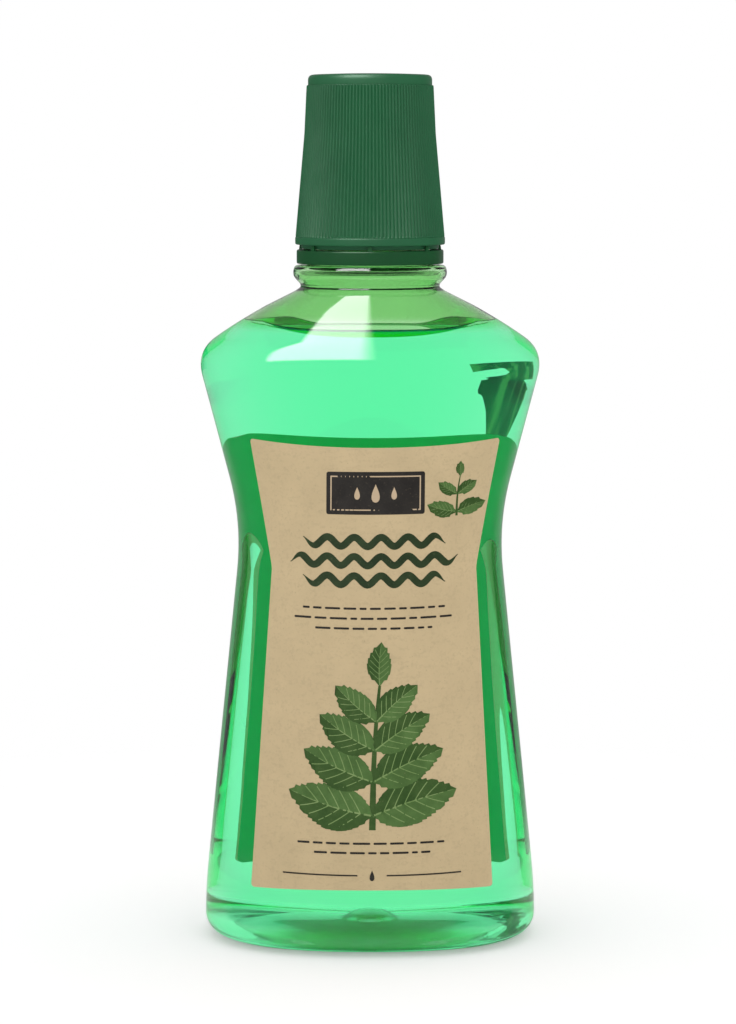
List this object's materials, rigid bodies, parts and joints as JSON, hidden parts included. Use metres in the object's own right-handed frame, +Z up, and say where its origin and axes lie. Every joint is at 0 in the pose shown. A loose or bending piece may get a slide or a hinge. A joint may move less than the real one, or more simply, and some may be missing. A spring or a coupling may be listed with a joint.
{
  "type": "mouthwash bottle",
  "caption": "Waisted oval bottle of tinted clear plastic, filled with mouthwash, with front and back labels and a ribbed screw-on dosing cap with a tamper band.",
  "frame": {"origin": "centre of the foot, on the surface that the bottle stands on", "axes": "+Z up along the neck's axis, -Y towards the front label, +X to the right of someone facing the front label"},
  "size_m": [0.0828, 0.0626, 0.212],
  "materials": {
    "bottle": "clear PET with a pale lime-green tint, glossy",
    "mouthwash": "clear mint-green liquid",
    "cap": "dark green polypropylene, satin ribs and a glossy top",
    "tamper_band": "dark green polypropylene, satin",
    "front_label": null,
    "back_label": null
  },
  "bodies": {
    "bottle": {"bottle": "bottle", "mouthwash": "mouthwash", "front_label": "front_label", "back_label": "back_label"},
    "tamper_band": {"tamper_band": "tamper_band"},
    "dosing_cap": {"dosing_cap": "cap"}
  },
  "joints": [
    {"name": "cap_turn", "type": "hinge", "parent": "bottle", "child": "tamper_band", "pos_m": [0, 0, 0.17], "axis": [0, 0, 1], "range_deg": [0, 990]},
    {"name": "cap_lift", "type": "slide", "parent": "tamper_band", "child": "dosing_cap", "axis": [0, 0, 1], "range_m": [0, 0.01155]}
  ],
  "couplings": [
    {"joint": "cap_lift", "follows": "cap_turn", "m_per_rad": 0.00066845}
  ]
}
